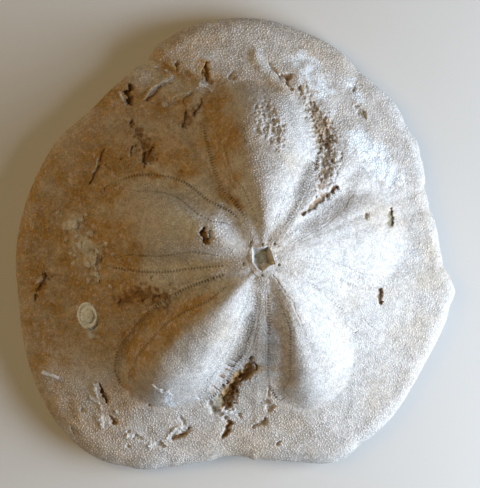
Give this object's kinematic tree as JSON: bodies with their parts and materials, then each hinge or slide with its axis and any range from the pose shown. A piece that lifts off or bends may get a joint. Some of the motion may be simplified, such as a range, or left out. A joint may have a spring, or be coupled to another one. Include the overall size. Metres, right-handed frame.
{
  "type": "fossil sea urchin",
  "caption": "Fossil sea urchin: low domed stone test with swollen petals around a star-shaped disc, a thin uneven margin and a flat underside to rest on.",
  "frame": {"origin": "bottom centre of the bounding box, on the plane of the flat underside", "axes": "+Z away from the resting face, out of the domed side; +Y towards the single front petal; +X to the right seen from above"},
  "size_m": [0.1268, 0.1304, 0.0421],
  "materials": {
    "fossil_stone": "matte, granular, with ochre staining"
  },
  "bodies": {
    "root": {"sea_urchin_test": "fossil_stone"}
  },
  "joints": []
}
